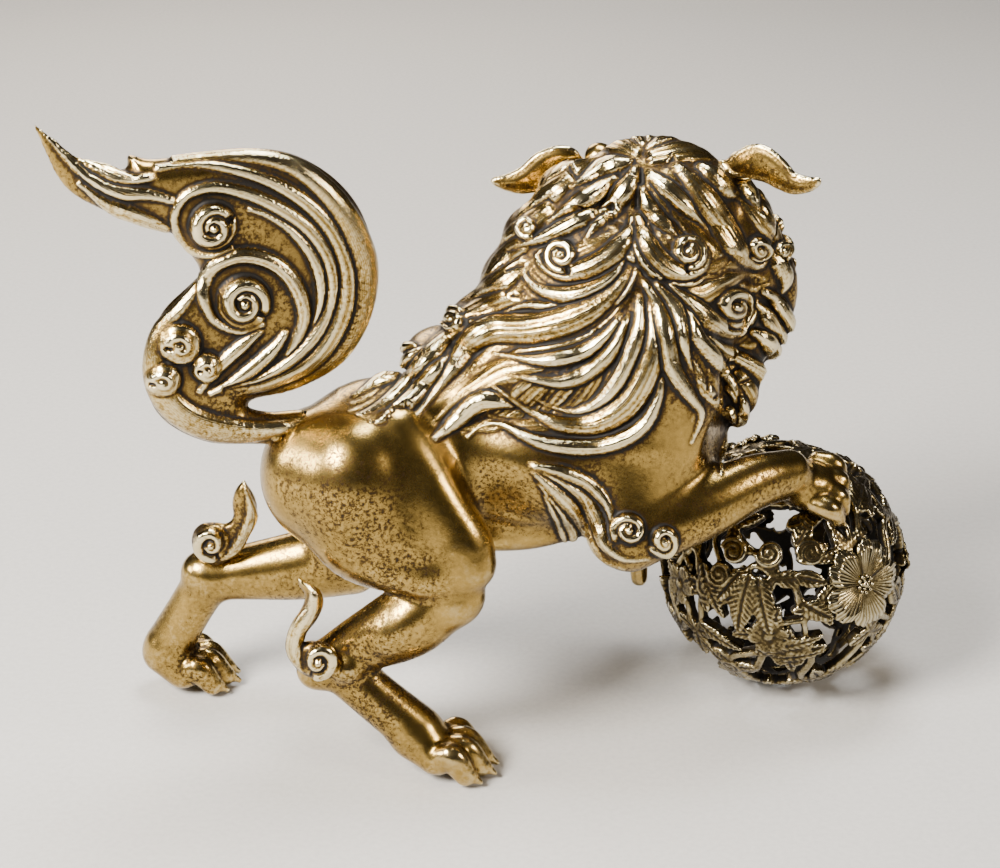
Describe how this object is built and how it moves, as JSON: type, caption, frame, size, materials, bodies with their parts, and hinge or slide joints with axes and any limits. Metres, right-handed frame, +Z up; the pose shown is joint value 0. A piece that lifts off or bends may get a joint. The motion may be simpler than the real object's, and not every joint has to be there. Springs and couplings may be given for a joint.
{
  "type": "foo dog statue",
  "caption": "Cast gilt bronze foo dog with turned head, flowing mane and flame tail, forepaws on a pierced flower ball.",
  "frame": {"origin": "middle of the statue's footprint box, on the surface it stands on", "axes": "+X from the rump to the ball, +Y towards the animal's left side, which the face looks to, +Z up"},
  "size_m": [0.3434, 0.1516, 0.27],
  "materials": {
    "gilt_bronze": "cast bronze, gilt and polished on the high parts, dark brown patina in the chased recesses",
    "ball_bronze": "cast bronze with a duller silvery brown patina, dark inside the piercings",
    "eye_inlay": "polished dark glass inlay"
  },
  "bodies": {
    "root": {"body_casting": "gilt_bronze", "head_casting": "gilt_bronze", "lower_jaw": "gilt_bronze", "tongue": "gilt_bronze", "right_eye": "eye_inlay", "left_eye": "eye_inlay", "right_fang": "gilt_bronze", "left_fang": "gilt_bronze", "right_ear": "gilt_bronze", "left_ear": "gilt_bronze", "mane_casting": "gilt_bronze", "beard_casting": "gilt_bronze", "right_foreleg": "gilt_bronze", "left_foreleg": "gilt_bronze", "right_hind_leg": "gilt_bronze", "left_hind_leg": "gilt_bronze", "right_elbow_tuft": "gilt_bronze", "left_elbow_tuft": "gilt_bronze", "right_hock_tuft": "gilt_bronze", "left_hock_tuft": "gilt_bronze", "tail_casting": "gilt_bronze", "tail_pin": "gilt_bronze", "ball_casting": "ball_bronze", "ball_blossom_1": "ball_bronze", "ball_blossom_2": "ball_bronze", "ball_blossom_3": "ball_bronze", "ball_blossom_4": "ball_bronze", "ball_blossom_5": "ball_bronze"}
  },
  "joints": []
}
